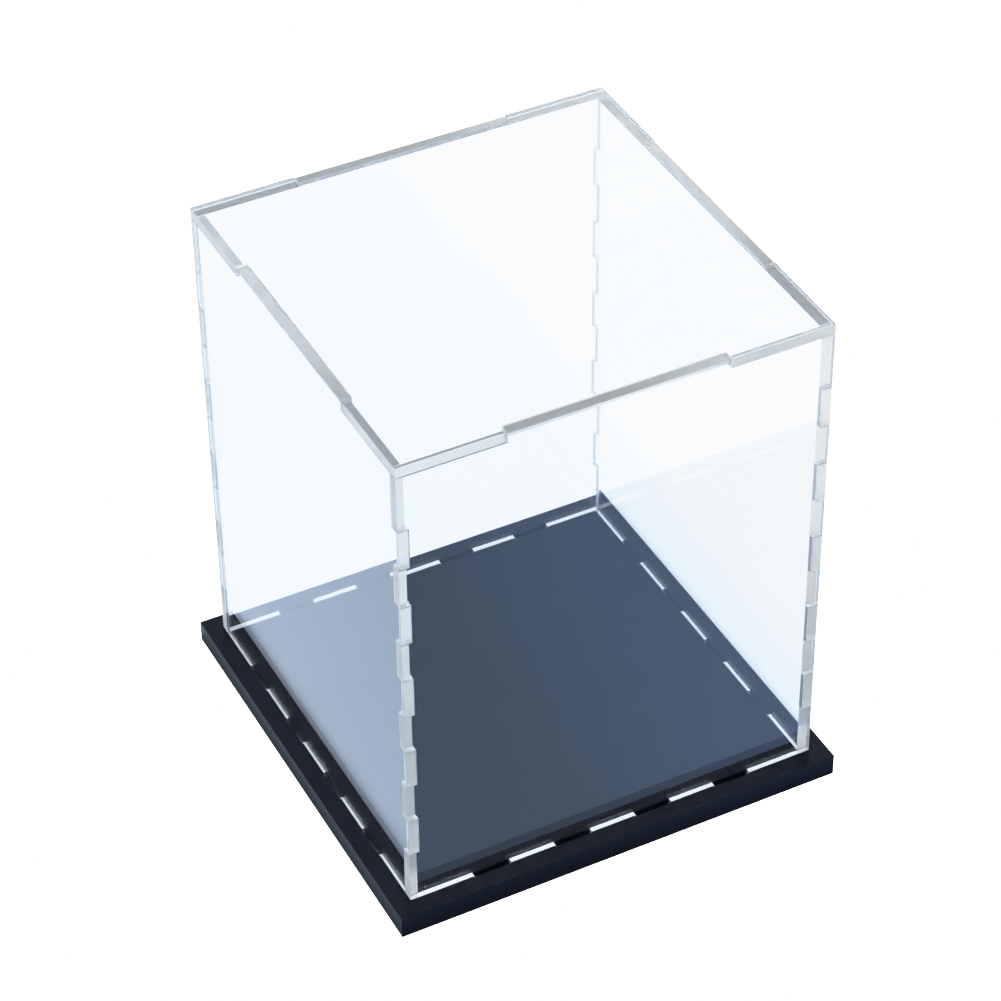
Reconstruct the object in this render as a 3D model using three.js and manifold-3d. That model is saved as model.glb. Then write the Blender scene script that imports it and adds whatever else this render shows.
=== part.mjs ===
// Acrylic display cube, in millimetres, +Z up.
//
// A clear five-sided cover is cut from one sheet: four walls with finger joints at the corners
// and a top panel that drops in between the walls' upper tabs. The walls stand on a black base
// with their feet in its slots. The base is two black sheets bonded together, the upper one
// slotted right through and the lower one plain, so that the feet have a floor.
//
// The origin is the middle of the base's underside. The front wall faces -Y, the left wall -X.
import * as THREE from 'three';
import { mergeVertices } from 'three/addons/utils/BufferGeometryUtils.js';
import Module from 'manifold-3d';

const wasm = await Module();
wasm.setup();

// Cover
const COVER_SIDE = 100; // outer width and depth of the cover
const COVER_HEIGHT = 120; // from the base's top surface to the top panel's top surface
const CLEAR_SHEET = 2.4; // thickness of the walls and the top panel
const CUT_GAP = 0.1; // width of the cut that stays open between two cut edges
const TAB_SHORTFALL = 0.3; // how far the upper tabs stop below the top panel's top surface

// Base
const BASE_MARGIN = 4.2; // how far the base stands out past the cover on every side
const SLOTTED_SHEET = 3; // thickness of the upper black sheet
const PLAIN_SHEET = 2.5; // thickness of the lower black sheet

// Finger joints: the first and last row at each corner are longer than the ones between them
const FINGER_ROWS = 11; // odd count, so both ends of a corner belong to the same wall
const FINGER_PITCH = 10;

// Upper tabs, one on each wall, and feet, a row on each wall
const TAB_WIDTH = 50.8;
const FEET_PER_WALL = 4;
const FOOT_WIDTH = 9;
const FOOT_PITCH = 20;

const HALF_SIDE = COVER_SIDE / 2;
const JOINT_DEPTH = CLEAR_SHEET + CUT_GAP; // how deep a finger or tab sits in its neighbour
const BASE_HEIGHT = PLAIN_SHEET + SLOTTED_SHEET;
const BASE_SIDE = COVER_SIDE + 2 * BASE_MARGIN;

// Heights on a wall, measured from the base's top surface
const WALL_BOTTOM = CUT_GAP;
const WALL_SHOULDER = COVER_HEIGHT - CLEAR_SHEET - CUT_GAP;
const TAB_TOP = COVER_HEIGHT - TAB_SHORTFALL;
const FOOT_BOTTOM = CUT_GAP - SLOTTED_SHEET;

const clearAcrylic = new THREE.MeshStandardMaterial({
  color: 0xe9f2fb,
  roughness: 0.04,
  metalness: 0,
  transparent: true,
  opacity: 0.35,
});
const blackAcrylic = new THREE.MeshStandardMaterial({ color: 0x14181e, roughness: 0.08, metalness: 0 });

/** The centres of a wall's feet, from left to right. */
function footCentres() {
  const centres = [];
  for (let foot = 0; foot < FEET_PER_WALL; foot += 1) {
    centres.push((foot - (FEET_PER_WALL - 1) / 2) * FOOT_PITCH);
  }
  return centres;
}

/** The height where a row of fingers starts. */
function rowStart(row) {
  const middle = (WALL_BOTTOM + WALL_SHOULDER) / 2;
  return middle + (row - FINGER_ROWS / 2) * FINGER_PITCH;
}

/** One upright edge of a wall, from the bottom up, as points [across, up] on its right-hand side. */
function fingerEdge(fingersInEvenRows) {
  const points = [];
  for (let row = 0; row < FINGER_ROWS; row += 1) {
    const isFinger = (row % 2 === 0) === fingersInEvenRows;
    const across = isFinger ? HALF_SIDE : HALF_SIDE - JOINT_DEPTH;
    const trim = isFinger ? CUT_GAP / 2 : -CUT_GAP / 2;
    const low = row === 0 ? WALL_BOTTOM : rowStart(row) + trim;
    const high = row === FINGER_ROWS - 1 ? WALL_SHOULDER : rowStart(row + 1) - trim;
    points.push([across, low], [across, high]);
  }
  return points;
}

/** The lower edge of a wall from left to right, with its feet. */
function footEdge() {
  return footCentres().flatMap((centre) => {
    const left = centre - FOOT_WIDTH / 2;
    const right = centre + FOOT_WIDTH / 2;
    return [
      [left, WALL_BOTTOM],
      [left, FOOT_BOTTOM],
      [right, FOOT_BOTTOM],
      [right, WALL_BOTTOM],
    ];
  });
}

/** The upper tab of a wall, from right to left. */
function tabEdge() {
  const halfTab = (TAB_WIDTH - CUT_GAP) / 2;
  return [
    [halfTab, WALL_SHOULDER],
    [halfTab, TAB_TOP],
    [-halfTab, TAB_TOP],
    [-halfTab, WALL_SHOULDER],
  ];
}

/** A closed outline from points [x, y] taken anticlockwise. */
function outline(points) {
  return new THREE.Shape(points.map(([x, y]) => new THREE.Vector2(x, y)));
}

function namedMesh(name, geometry, material) {
  const mesh = new THREE.Mesh(geometry, material);
  mesh.name = name;
  return mesh;
}

/** A clear sheet cut to an outline, from z = 0 up. */
function clearSheet(name, shape) {
  const geometry = new THREE.ExtrudeGeometry(shape, { depth: CLEAR_SHEET, bevelEnabled: false });
  return namedMesh(name, geometry, clearAcrylic);
}

/** A wall, turned about Z from the front. Turn 0 is the front wall. */
function wall(name, turn, fingersInEvenRows) {
  const rightEdge = fingerEdge(fingersInEvenRows);
  const leftEdge = rightEdge.map(([across, up]) => [-across, up]).reverse();
  const shape = outline([...footEdge(), ...rightEdge, ...tabEdge(), ...leftEdge]);
  const mesh = clearSheet(name, shape);
  mesh.rotation.x = Math.PI / 2;
  mesh.position.y = CLEAR_SHEET - HALF_SIDE;
  const holder = new THREE.Group();
  holder.rotation.z = turn;
  holder.position.z = BASE_HEIGHT;
  holder.add(mesh);
  return holder;
}

/** The top panel: a square with a notch in each side for a wall's upper tab. */
function topPanel() {
  const halfNotch = (TAB_WIDTH + CUT_GAP) / 2;
  const notchBottom = HALF_SIDE - JOINT_DEPTH;
  const corner = [
    [notchBottom, halfNotch],
    [HALF_SIDE, halfNotch],
    [HALF_SIDE, HALF_SIDE],
    [halfNotch, HALF_SIDE],
    [halfNotch, notchBottom],
  ];
  const points = [];
  for (let quarter = 0; quarter < 4; quarter += 1) {
    const middle = new THREE.Vector2(0, 0);
    const angle = (quarter * Math.PI) / 2;
    points.push(...corner.map((point) => new THREE.Vector2(...point).rotateAround(middle, angle).toArray()));
  }
  const mesh = clearSheet('top_panel', outline(points));
  mesh.position.z = BASE_HEIGHT + COVER_HEIGHT - CLEAR_SHEET;
  return mesh;
}

/** A closed geometry as a solid that can be cut. */
function solidOf(geometry) {
  const bare = geometry.clone();
  bare.deleteAttribute('normal');
  bare.deleteAttribute('uv');
  const merged = mergeVertices(bare);
  return new wasm.Manifold(
    new wasm.Mesh({
      numProp: 3,
      vertProperties: new Float32Array(merged.attributes.position.array),
      triVerts: new Uint32Array(merged.index.array),
    }),
  );
}

/** A solid as a geometry again, with flat faces. */
function geometryOf(solid) {
  const { vertProperties, triVerts } = solid.getMesh();
  const indexed = new THREE.BufferGeometry();
  indexed.setAttribute('position', new THREE.BufferAttribute(vertProperties, 3));
  indexed.setIndex(new THREE.BufferAttribute(triVerts, 1));
  const geometry = indexed.toNonIndexed();
  geometry.computeVertexNormals();
  return geometry;
}

/** A black plate of the base, its underside at the given height. */
function basePlateGeometry(underside, thickness) {
  return new THREE.BoxGeometry(BASE_SIDE, BASE_SIDE, thickness).translate(0, 0, underside + thickness / 2);
}

/** The upper black sheet, with a slot under each foot of each wall. */
function baseUpperPlate() {
  const slotLength = FOOT_WIDTH + 2 * CUT_GAP;
  const slotWidth = CLEAR_SHEET + 2 * CUT_GAP;
  const slotOffset = HALF_SIDE - CLEAR_SHEET / 2;
  const cutHeight = 2 * BASE_HEIGHT; // taller than the sheet, so each slot goes right through
  let plate = solidOf(basePlateGeometry(PLAIN_SHEET, SLOTTED_SHEET));
  for (const along of footCentres()) {
    for (const side of [-slotOffset, slotOffset]) {
      const acrossX = new THREE.BoxGeometry(slotLength, slotWidth, cutHeight).translate(along, side, 0);
      const acrossY = new THREE.BoxGeometry(slotWidth, slotLength, cutHeight).translate(side, along, 0);
      plate = plate.subtract(solidOf(acrossX)).subtract(solidOf(acrossY));
    }
  }
  return namedMesh('base_upper_plate', geometryOf(plate), blackAcrylic);
}

function baseLowerPlate() {
  return namedMesh('base_lower_plate', basePlateGeometry(0, PLAIN_SHEET), blackAcrylic);
}

const group = new THREE.Group();
group.add(baseLowerPlate());
group.add(baseUpperPlate());
group.add(wall('front_wall', 0, true));
group.add(wall('right_wall', Math.PI / 2, false));
group.add(wall('back_wall', Math.PI, true));
group.add(wall('left_wall', -Math.PI / 2, false));
group.add(topPanel());

export default group;
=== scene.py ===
"""Acrylic display cube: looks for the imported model. Metres, +Z up, front wall facing -Y."""

import math

import bpy
from mathutils import Matrix, Vector


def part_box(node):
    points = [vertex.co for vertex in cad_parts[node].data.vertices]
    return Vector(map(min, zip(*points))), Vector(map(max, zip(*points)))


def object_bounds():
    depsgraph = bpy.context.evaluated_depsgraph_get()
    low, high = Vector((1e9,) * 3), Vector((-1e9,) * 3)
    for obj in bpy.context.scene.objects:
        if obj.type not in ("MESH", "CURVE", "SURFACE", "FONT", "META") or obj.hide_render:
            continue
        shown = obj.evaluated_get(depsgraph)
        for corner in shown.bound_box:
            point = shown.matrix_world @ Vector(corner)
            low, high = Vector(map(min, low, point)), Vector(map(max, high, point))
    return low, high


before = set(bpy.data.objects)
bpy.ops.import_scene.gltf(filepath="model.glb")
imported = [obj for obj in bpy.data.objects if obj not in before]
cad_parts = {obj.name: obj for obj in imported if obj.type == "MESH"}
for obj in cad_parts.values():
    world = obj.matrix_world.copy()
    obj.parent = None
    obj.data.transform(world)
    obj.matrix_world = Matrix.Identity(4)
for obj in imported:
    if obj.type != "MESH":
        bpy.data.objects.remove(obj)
cad_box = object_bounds()

MM = 0.001
BASE_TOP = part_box("base_upper_plate")[1].z

# Camera, with its distances in cover widths. It aims at a point over the middle of the base and is
# then moved sideways and up without turning.
CAMERA_AZIMUTH = math.radians(-26.83)
CAMERA_ELEVATION = math.radians(39.76)
CAMERA_ROLL = math.radians(-0.69)
AIM_HEIGHT = 0.5  # above the base
CAMERA_DISTANCE = 7.67
CAMERA_RIGHT = -0.017
CAMERA_UP = 0.046
CAMERA_LENS = 124.7  # mm on a 36 mm sensor
CAMERA_CLIP = 10 * MM

# Sheets: every clear node with the axis that its broad faces look along
CLEAR_NODES = {"front_wall": "Y", "back_wall": "Y", "left_wall": "X", "right_wall": "X", "top_panel": "Z"}
BLACK_NODES = ("base_upper_plate", "base_lower_plate")

# Edges
CLEAR_EDGE = 0.12 * MM  # how far the laser melts an edge round
BLACK_EDGE = 0.1 * MM
SAME_CORNER = 0.001 * MM  # corners of triangles this close together are joined
SAME_FACE = math.radians(1)  # triangles that meet at less than this angle are merged
SHARP_EDGE = math.radians(40)  # faces that meet at more than this angle have a rounded edge

# Acrylic. A pair holds the values for the low and the high places of a pattern. A level cut face has one
# look where light meets it from below. Met from above, it has a look for the open, and one for low down:
# a wall's lower edge, between its feet, and its feet's ends in their slots.
ACRYLIC_IOR = 1.49
LOOKS_ALONG = 0.7  # how far a face's normal goes along an axis, for the face to look along it
FACE_TINT = (0.975, 0.985, 1.0, 1)
CUT_TINTS = ((0.95, 0.91, 0.80, 1), (1.0, 0.96, 0.86, 1))
CUT_TINT_FROM_BELOW = (0.96, 0.96, 0.96, 1)
BLACK_TINTS = ((0.0028, 0.0042, 0.0080, 1), (0.0045, 0.0062, 0.0110, 1))
DUST_TINT = (0.02, 0.022, 0.026, 1)
FACE_ROUGHNESS = (0.0, 0.02)
UPRIGHT_CUT_ROUGHNESS = (0.4, 0.65)
OPEN_CUT_ROUGHNESS = (0.25, 0.42)
LOW_CUT_ROUGHNESS = (0.12, 0.2)
CUT_ROUGHNESS_FROM_BELOW = (0.1, 0.2)
BLACK_ROUGHNESS = (0.2, 0.3)
CUT_CLARITY = 0.92  # share of the light that goes through a cut face
OPEN_CUT_CLARITY = 0.82
LOW_CUT_CLARITY = 0.88
RIDGE_SQUASH = 0.04  # of the ridges' pattern, through the sheet's thickness
BLACK_SPECULAR = 0.1

# Light that the floor and the tent around it send to the object
FLOOR_GLOW = (1.2, 1.38, 1.62, 1)
RIGHT_GLOW = (1.3, 1.38, 1.5, 1)
LEFT_GLOW = (1.0, 1.23, 1.6, 1)
# Painted shade: as the sheets mirror it, the floor's light is darker in front of the case
FRONT_LEFT_SHADED_GLOW = (0.41, 0.6, 0.87, 1)
FRONT_RIGHT_SHADED_GLOW = (0.54, 0.81, 1.35, 1)
# Painted contact shadow: the floor's light is dark along the foot of the base, where the base would shade
# the floor
CONTACT_SHADOW_GLOW = (0.24, 0.28, 0.36, 1)
CONTACT_SHADOW_WIDTH = 5.5 * MM
TENT_GLOW = (0.85, 0.95, 1.1, 1)
TENT_FRONT_GLOW = (0.45, 0.55, 0.75, 1)
OVERHEAD_GLOW = (2.9, 3.2, 3.6, 1)
ZENITH_GLOW = (0.6, 0.66, 0.75, 1)
SEEN_GLOW = (3, 3, 3, 1)  # the floor and the tent as the camera itself sees them: pure white
MIRRORED_CROSSINGS = 3.5  # light that a sheet mirrors goes through fewer faces than this

FLOOR_REACH = 40  # times the object's diagonal
FLOOR_GAP = 0.05 * MM  # from the floor up to the base's underside

# Highlight shoulder: how bright a light is shown
CURVE_WHITE = 3.0
SHOULDER = ((0.3, 0.3), (0.6, 0.6), (0.8, 0.785), (1.0, 0.9), (1.2, 0.95), (1.5, 0.982), (2.0, 0.997))
COMBINED_CURVE = 3  # the curve mapping's curve for all three colours, after red, green and blue


class Tree:
    """A node tree, with short calls to add nodes and join them."""

    # A Mix node's sockets for each kind of value: the first of the two that it mixes, and its output
    MIX_SOCKETS = {"FLOAT": (2, 0), "VECTOR": (4, 1), "RGBA": (6, 2)}

    def __init__(self, owner):
        owner.use_nodes = True
        self.tree = owner.node_tree
        self.tree.nodes.clear()

    def node(self, kind, inputs=None, **settings):
        made = self.tree.nodes.new(kind)
        for name, value in settings.items():
            setattr(made, name, value)
        for key, value in (inputs or {}).items():
            self.put(made.inputs[key], value)
        return made

    def put(self, socket, value):
        """Joins another node's output to a socket, or sets the socket's own value."""
        if isinstance(value, bpy.types.NodeSocket):
            self.tree.links.new(value, socket)
        else:
            socket.default_value = value

    def math(self, operation, *values):
        made = self.node("ShaderNodeMath", operation=operation)
        for index, value in enumerate(values):
            self.put(made.inputs[index], value)
        return made.outputs[0]

    def mix(self, kind, factor, first, second):
        """The first value where the factor is 0, and the second where it is 1."""
        start, result = self.MIX_SOCKETS[kind]
        made = self.node("ShaderNodeMix", {0: factor, start: first, start + 1: second}, data_type=kind)
        return made.outputs[result]

    def colour(self, factor, first, second):
        return self.mix("RGBA", factor, first, second)

    def between(self, factor, first, second):
        return self.mix("FLOAT", factor, first, second)

    def ramp(self, value, start, end):
        """0 at start to 1 at end, eased at both."""
        inputs = {"Value": value, "From Min": start, "From Max": end}
        return self.node("ShaderNodeMapRange", inputs, interpolation_type="SMOOTHSTEP").outputs[0]

    def xyz(self, vector):
        return self.node("ShaderNodeSeparateXYZ", {0: vector}).outputs

    def place(self):
        return self.node("ShaderNodeTexCoord").outputs["Object"]

    def noise(self, vector, scale, detail):
        """A soft random pattern from 0 to 1, its scale in waves to the metre."""
        inputs = {"Vector": vector, "Scale": scale, "Detail": detail}
        return self.node("ShaderNodeTexNoise", inputs).outputs["Fac"]

    def bump(self, height, strength, distance):
        inputs = {"Strength": strength, "Distance": distance, "Height": height}
        return self.node("ShaderNodeBump", inputs).outputs[0]

    def surface(self, shader):
        self.node("ShaderNodeOutputMaterial", {"Surface": shader.outputs[0]})


def clear_acrylic(face_axis):
    """Clear sheet whose broad faces look along face_axis. Its other faces are laser-cut edges."""
    material = bpy.data.materials.new(f"clear_acrylic_{face_axis.lower()}")
    t = Tree(material)
    place = t.place()
    normal = t.xyz(t.node("ShaderNodeNewGeometry").outputs["True Normal"])
    cut = t.math("LESS_THAN", t.math("ABSOLUTE", normal[face_axis]), LOOKS_ALONG)
    # The normal is turned towards the ray, so these say from which side a level face is met
    met_from_above = t.math("GREATER_THAN", normal["Z"], LOOKS_ALONG)
    met_from_below = t.math("LESS_THAN", normal["Z"], -LOOKS_ALONG)
    # Level cut faces are milky in the open, and clearer low down: at a wall's lower edge and feet's ends
    in_the_open = t.math("GREATER_THAN", t.xyz(place)["Z"], BASE_TOP + MM)

    # Broad faces: glossy, with a faint haze from wiping and the slow waves of a cast sheet
    haze = t.noise(place, scale=220.0, detail=4.0)
    waves = t.noise(place, scale=28.0, detail=1.0)
    # Cut faces: frosted, with fine ridges through the sheet's thickness
    squash = [RIDGE_SQUASH if axis == face_axis else 1.0 for axis in "XYZ"]
    along_cut = t.node("ShaderNodeMapping", {"Vector": place, "Scale": squash}).outputs[0]
    ridges = t.noise(along_cut, scale=2600.0, detail=2.0)
    patches = t.noise(place, scale=160.0, detail=2.0)

    wave_bump = t.bump(waves, strength=0.25, distance=0.1 * MM)
    ridge_bump = t.bump(ridges, strength=0.2, distance=0.03 * MM)
    cut_tint = t.colour(met_from_below, t.colour(patches, *CUT_TINTS), CUT_TINT_FROM_BELOW)
    low_frost = t.between(patches, *LOW_CUT_ROUGHNESS)
    level_frost = t.between(in_the_open, low_frost, t.between(patches, *OPEN_CUT_ROUGHNESS))
    frost = t.between(met_from_above, t.between(ridges, *UPRIGHT_CUT_ROUGHNESS), level_frost)
    frost = t.between(met_from_below, frost, t.between(ridges, *CUT_ROUGHNESS_FROM_BELOW))
    level_clarity = t.between(in_the_open, LOW_CUT_CLARITY, OPEN_CUT_CLARITY)
    clarity = t.between(met_from_above, CUT_CLARITY, level_clarity)
    shader = t.node(
        "ShaderNodeBsdfPrincipled",
        {
            "Base Color": t.colour(cut, FACE_TINT, cut_tint),
            "Roughness": t.between(cut, t.between(haze, *FACE_ROUGHNESS), frost),
            "IOR": ACRYLIC_IOR,
            "Transmission Weight": t.between(cut, 1.0, clarity),
            "Normal": t.mix("VECTOR", cut, wave_bump, ridge_bump),
        },
    )
    t.surface(shader)
    return material


def black_acrylic():
    """Black sheet with little gloss, slightly cloudy from handling, with fine specks of dust."""
    material = bpy.data.materials.new("black_acrylic")
    t = Tree(material)
    place = t.place()
    smear = t.noise(place, scale=60.0, detail=5.0)
    dust = t.ramp(t.noise(place, scale=2400.0, detail=1.0), start=0.72, end=0.78)
    shader = t.node(
        "ShaderNodeBsdfPrincipled",
        {
            "Base Color": t.colour(dust, t.colour(smear, *BLACK_TINTS), DUST_TINT),
            "Roughness": t.between(smear, *BLACK_ROUGHNESS),
            "IOR": ACRYLIC_IOR,
            "Specular IOR Level": BLACK_SPECULAR,
        },
    )
    t.surface(shader)
    return material


def dress(node, material, edge):
    """Gives a CAD node its material, and rounds its edges a little."""
    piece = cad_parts[node]
    piece.data.materials.clear()
    piece.data.materials.append(material)
    # The triangles are joined at their corners and merged into whole faces, for the bevel to follow
    join = piece.modifiers.new("joined_corners", "WELD")
    join.merge_threshold = SAME_CORNER
    merge = piece.modifiers.new("whole_faces", "DECIMATE")
    merge.decimate_type = "DISSOLVE"
    merge.angle_limit = SAME_FACE
    bevel = piece.modifiers.new("melted_edge", "BEVEL")
    bevel.width = edge
    bevel.segments = 2
    bevel.limit_method = "ANGLE"
    bevel.angle_limit = SHARP_EDGE


def light_colour(t, mirrored, through):
    """A light's colour: as a sheet mirrors it, as it comes through the case, or white to the camera."""
    path = t.node("ShaderNodeLightPath").outputs
    # Light that a sheet mirrors goes through two of its faces at most, and through the case four or more
    came_through = t.math("GREATER_THAN", path["Transmission Depth"], MIRRORED_CROSSINGS)
    cast = t.colour(came_through, mirrored, through)
    return t.colour(path["Is Camera Ray"], cast, SEEN_GLOW)


def past_edge(t, position, edge):
    """How far a position lies past the edge, on either side of the middle, and 0 inside it."""
    return t.math("MAXIMUM", t.math("SUBTRACT", t.math("ABSOLUTE", position), edge), 0.0)


def floor_light(t):
    """The floor's light: bright all round, but coloured and darker in front, a painted shade, and dark
    along the foot of the base, a painted contact shadow.
    """
    lo, hi = cad_box
    place = t.xyz(t.place())
    in_front = t.ramp(place["Y"], start=lo.y + 30 * MM, end=lo.y)
    at_left = t.ramp(place["X"], start=lo.x + 10 * MM, end=lo.x - 10 * MM)
    at_right = t.ramp(place["X"], start=hi.x + 5 * MM, end=hi.x + 25 * MM)
    across_front = t.ramp(place["X"], start=0.4 * lo.x, end=hi.x)
    front_shaded_glow = t.colour(across_front, FRONT_LEFT_SHADED_GLOW, FRONT_RIGHT_SHADED_GLOW)
    through = t.colour(at_right, FLOOR_GLOW, RIGHT_GLOW)
    # Painted shade in front, in the light that the sheets mirror
    mirrored = t.colour(in_front, FLOOR_GLOW, front_shaded_glow)
    mirrored = t.colour(at_left, mirrored, LEFT_GLOW)
    mirrored = t.colour(at_right, mirrored, RIGHT_GLOW)

    past_x = past_edge(t, place["X"], hi.x)
    past_y = past_edge(t, place["Y"], hi.y)
    past = t.math("SQRT", t.math("ADD", t.math("POWER", past_x, 2.0), t.math("POWER", past_y, 2.0)))
    # Painted contact shadow: the floor's light darkens over this width towards the base's outline
    clear_of_contact_shadow = t.ramp(past, start=0.0, end=CONTACT_SHADOW_WIDTH)
    mirrored = t.colour(clear_of_contact_shadow, CONTACT_SHADOW_GLOW, mirrored)
    through = t.colour(clear_of_contact_shadow, CONTACT_SHADOW_GLOW, through)
    return light_colour(t, mirrored, through)


def floor():
    """A pale floor that is a light itself, so that nothing casts a shadow on it; a contact shadow is
    painted into its light instead.
    """
    lo, hi = cad_box
    reach = FLOOR_REACH * (hi - lo).length
    corners = [(-reach, -reach, 0), (reach, -reach, 0), (reach, reach, 0), (-reach, reach, 0)]
    mesh = bpy.data.meshes.new("floor")
    mesh.from_pydata(corners, [], [(0, 1, 2, 3)])
    plane = bpy.data.objects.new("floor", mesh)
    plane.location.z = lo.z - FLOOR_GAP
    bpy.context.scene.collection.objects.link(plane)

    material = bpy.data.materials.new("pale_floor")
    t = Tree(material)
    t.surface(t.node("ShaderNodeEmission", {"Color": floor_light(t)}))
    mesh.materials.append(material)


def tent():
    """A soft white tent: brightest overhead, but dim straight up, and dim behind the camera."""
    world = bpy.data.worlds.new("tent")
    bpy.context.scene.world = world
    t = Tree(world)
    direction = t.xyz(t.node("ShaderNodeTexCoord").outputs["Generated"])
    in_front = t.ramp(direction["Y"], start=-0.2, end=-0.6)
    overhead = t.ramp(direction["Z"], start=0.68, end=0.88)
    straight_up = t.ramp(direction["Z"], start=0.93, end=0.975)
    above = t.colour(straight_up, OVERHEAD_GLOW, ZENITH_GLOW)
    mirrored = t.colour(in_front, TENT_GLOW, TENT_FRONT_GLOW)
    mirrored = t.colour(overhead, mirrored, above)
    through = t.colour(overhead, TENT_GLOW, above)
    sky = t.node("ShaderNodeBackground", {"Color": light_colour(t, mirrored, through)})
    t.node("ShaderNodeOutputWorld", {"Surface": sky.outputs[0]})


def camera():
    """The camera, looking at the front and left walls from above."""
    lo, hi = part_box("front_wall")
    width = hi.x - lo.x
    back = Vector(
        (
            math.sin(CAMERA_AZIMUTH) * math.cos(CAMERA_ELEVATION),
            -math.cos(CAMERA_AZIMUTH) * math.cos(CAMERA_ELEVATION),
            math.sin(CAMERA_ELEVATION),
        )
    )
    level_right = (-back).cross(Vector((0, 0, 1))).normalized()
    level_up = level_right.cross(-back)
    right = math.cos(CAMERA_ROLL) * level_right + math.sin(CAMERA_ROLL) * level_up
    up = math.cos(CAMERA_ROLL) * level_up - math.sin(CAMERA_ROLL) * level_right
    aim = Vector((0, 0, BASE_TOP + AIM_HEIGHT * width))
    place = aim + (CAMERA_RIGHT * right + CAMERA_UP * up + CAMERA_DISTANCE * back) * width
    data = bpy.data.cameras.new("camera")
    data.lens = CAMERA_LENS
    data.clip_start = CAMERA_CLIP
    view = bpy.data.objects.new("camera", data)
    turn = Matrix((right, up, back)).transposed().to_4x4()
    view.matrix_world = Matrix.Translation(place) @ turn
    bpy.context.scene.collection.objects.link(view)
    bpy.context.scene.camera = view


def soften_highlights(settings):
    """Squeezes the brightest light towards white, as a camera does, where it would be cut off."""
    settings.view_transform = "Standard"
    settings.use_curve_mapping = True
    mapping = settings.curve_mapping
    mapping.white_level = (CURVE_WHITE, CURVE_WHITE, CURVE_WHITE)
    curve = mapping.curves[COMBINED_CURVE]
    for light, shown in SHOULDER:
        curve.points.new(light / CURVE_WHITE, shown)
    mapping.update()


def let_light_through(cycles):
    """Lets light cross all the sheets and be mirrored back and forth inside them."""
    cycles.max_bounces = 96
    cycles.glossy_bounces = 64
    cycles.transmission_bounces = 48


camera()
clear = {axis: clear_acrylic(axis) for axis in "XYZ"}
for node, axis in CLEAR_NODES.items():
    dress(node, clear[axis], CLEAR_EDGE)
black = black_acrylic()
for node in BLACK_NODES:
    dress(node, black, BLACK_EDGE)
floor()
tent()
soften_highlights(bpy.context.scene.view_settings)
let_light_through(bpy.context.scene.cycles)
